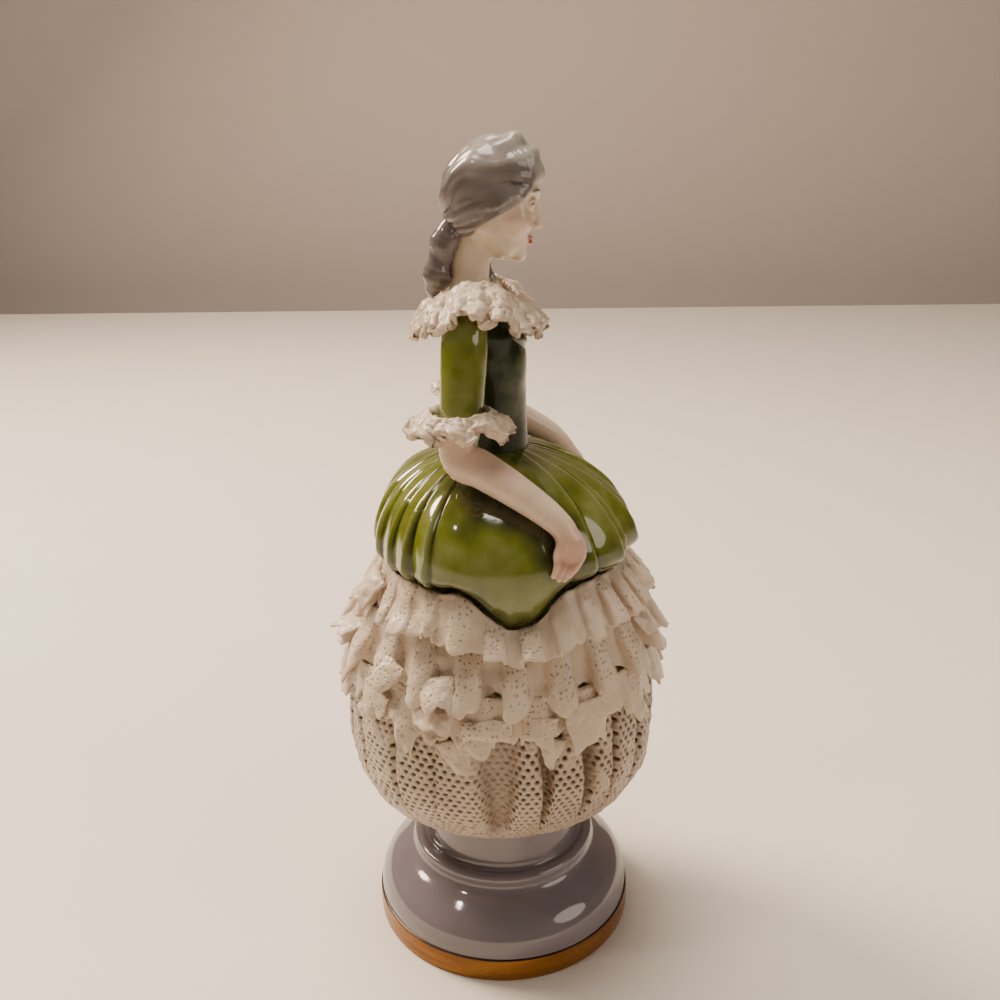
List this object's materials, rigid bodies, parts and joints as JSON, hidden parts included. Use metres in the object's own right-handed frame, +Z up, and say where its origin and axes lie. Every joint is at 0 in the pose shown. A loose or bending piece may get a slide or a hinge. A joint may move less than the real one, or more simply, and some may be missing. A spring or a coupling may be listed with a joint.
{
  "type": "lace porcelain figurine",
  "caption": "Glazed porcelain lady in a green gathered dress over a tiered porcelain-lace underskirt, on a round grey foot with a gold band; a standing ornament.",
  "frame": {"origin": "centre of the flat underside of the foot", "axes": "+Z up along the figure's height, the lady faces -Y, her left hand is at +X"},
  "size_m": [0.08, 0.0802, 0.19],
  "materials": {
    "foot_glaze": "glossy lavender grey glaze with a gilded band",
    "lace": "fired porcelain lace, lightly glazed",
    "figure_glaze": "glossy olive green glaze, painted flesh and grey hair"
  },
  "bodies": {
    "root": {"pedestal": "foot_glaze", "lace_underskirt": "lace", "lace_flounce_lower": "lace", "lace_flounce_middle": "lace", "lace_flounce_upper": "lace", "cast_figure": "figure_glaze", "lace_collar": "lace", "lace_cuff_right": "lace", "lace_cuff_left": "lace"}
  },
  "joints": []
}
